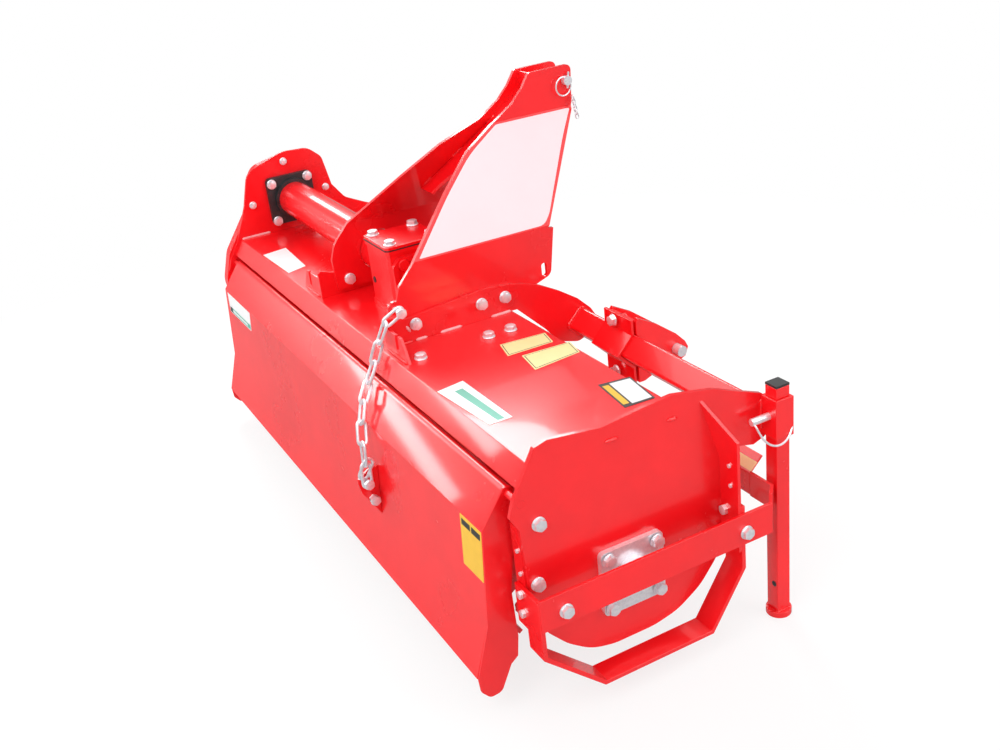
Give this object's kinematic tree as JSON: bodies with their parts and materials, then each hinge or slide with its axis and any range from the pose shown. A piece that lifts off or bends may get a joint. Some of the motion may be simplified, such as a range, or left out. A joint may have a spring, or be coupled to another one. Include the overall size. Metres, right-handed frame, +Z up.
{
  "type": "three-point mounted rotavator",
  "caption": "Rotary tiller for a three-point hitch: tined rotor under a hood with a hinged tailboard, side skids, guards, gearbox, side drive and parking stands.",
  "frame": {"origin": "middle of the bounding box, on the ground that it stands on", "axes": "+X to the machine's right along the rotor, +Y forward towards the tractor, +Z up"},
  "size_m": [1.612, 0.6948, 0.8889],
  "materials": {
    "red_paint": "gloss",
    "zinc": "zinc plated",
    "bare_steel": "machined",
    "black_paint": "satin",
    "black_plastic": "matt"
  },
  "bodies": {
    "frame": {"side_plate_right": "red_paint", "side_plate_left": "red_paint", "hood": "red_paint", "headstock_left": "red_paint", "headstock_right": "red_paint", "headstock_web": "red_paint", "top_link_pin": "zinc", "bracket_right": "red_paint", "bracket_left": "red_paint", "hitch_bar_right": "red_paint", "hitch_bar_left": "red_paint", "hitch_clevis_right": "red_paint", "hitch_clevis_left": "red_paint", "lower_pin_right": "zinc", "lower_pin_left": "zinc", "gearbox": "red_paint", "gearbox_cover": "red_paint", "cross_tube": "red_paint", "cross_flange": "black_paint", "drive_case": "red_paint", "rotor_bearing": "zinc", "skid_right": "red_paint", "skid_left": "red_paint", "guard_right": "red_paint", "guard_left": "red_paint", "front_guard": "red_paint", "tailboard_pivot_right": "zinc", "tailboard_pivot_left": "zinc", "tailboard_chain": "zinc", "stand_sleeve_right": "red_paint", "stand_sleeve_left": "red_paint", "shaft_shield": "black_plastic"},
    "rotor": {"rotor": "red_paint"},
    "tailboard": {"tailboard": "red_paint", "tailboard_wing_right": "red_paint", "tailboard_wing_left": "red_paint", "chain_plate": "red_paint"},
    "stand_right": {"stand_right": "red_paint", "stand_cap_right": "black_plastic"},
    "stand_left": {"stand_left": "red_paint", "stand_cap_left": "black_plastic"},
    "input_shaft": {"input_shaft": "bare_steel"}
  },
  "joints": [
    {"name": "rotor_spin", "type": "hinge", "parent": "frame", "child": "rotor", "pos_m": [0, -0.06059, 0.20603], "axis": [1, 0, 0], "continuous": true},
    {"name": "input_spin", "type": "hinge", "parent": "frame", "child": "input_shaft", "pos_m": [0, 0.05341, 0.541], "axis": [0, 1, 0], "continuous": true},
    {"name": "tailboard_hinge", "type": "hinge", "parent": "frame", "child": "tailboard", "pos_m": [0, -0.24659, 0.408], "axis": [-1, 0, 0], "range_deg": [0, 65], "deforming": ["tailboard_chain"]},
    {"name": "stand_slide_right", "type": "slide", "parent": "frame", "child": "stand_right", "axis": [0, 0, 1], "range_m": [0, 0.2]},
    {"name": "stand_slide_left", "type": "slide", "parent": "frame", "child": "stand_left", "axis": [0, 0, 1], "range_m": [0, 0.2]}
  ],
  "couplings": [
    {"joint": "input_spin", "follows": "rotor_spin", "ratio": 2.6}
  ]
}
